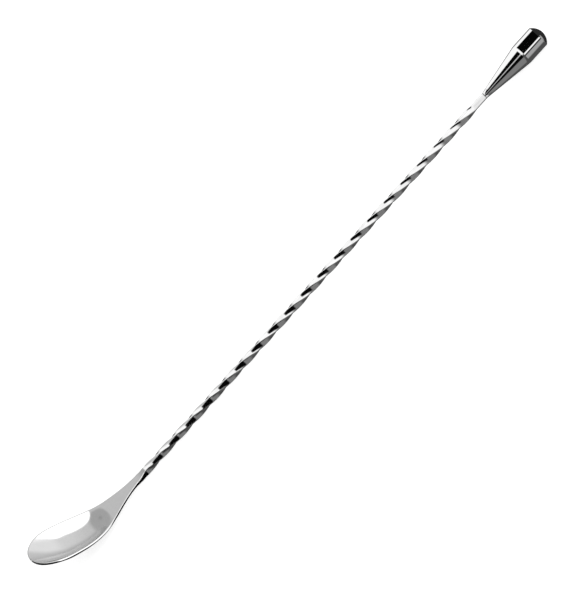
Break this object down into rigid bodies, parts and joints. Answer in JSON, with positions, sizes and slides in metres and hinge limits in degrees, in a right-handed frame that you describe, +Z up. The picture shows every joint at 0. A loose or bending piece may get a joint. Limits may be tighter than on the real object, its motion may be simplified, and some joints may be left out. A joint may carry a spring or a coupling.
{
  "type": "bar spoon",
  "caption": "Polished steel bar spoon: pressed fan-shaped bowl on a flat neck, twisted square stem, and a solid teardrop weight at the far end.",
  "frame": {"origin": "on the surface that the spoon lies on, under the middle of its bounding box", "axes": "+X from the bowl's tip towards the weight, +Z up with the bowl's hollow facing up, +Y across. The spoon lies at rest on the bowl's back and the weight, so the stem climbs 0.62 degrees towards +X"},
  "size_m": [0.305, 0.024, 0.016],
  "materials": {
    "bowl_steel": "mirror-polished stainless steel, with fine wiping marks",
    "stem_steel": "polished stainless steel, drawn and twisted",
    "weight_steel": "mirror-polished turned stainless steel",
    "braze_metal": "brazing metal, ground flush and polished"
  },
  "bodies": {
    "root": {"spoon_bowl": "bowl_steel", "twisted_stem": "stem_steel", "teardrop_weight": "weight_steel", "bowl_joint_braze": "braze_metal", "weight_joint_braze": "braze_metal"}
  },
  "joints": []
}
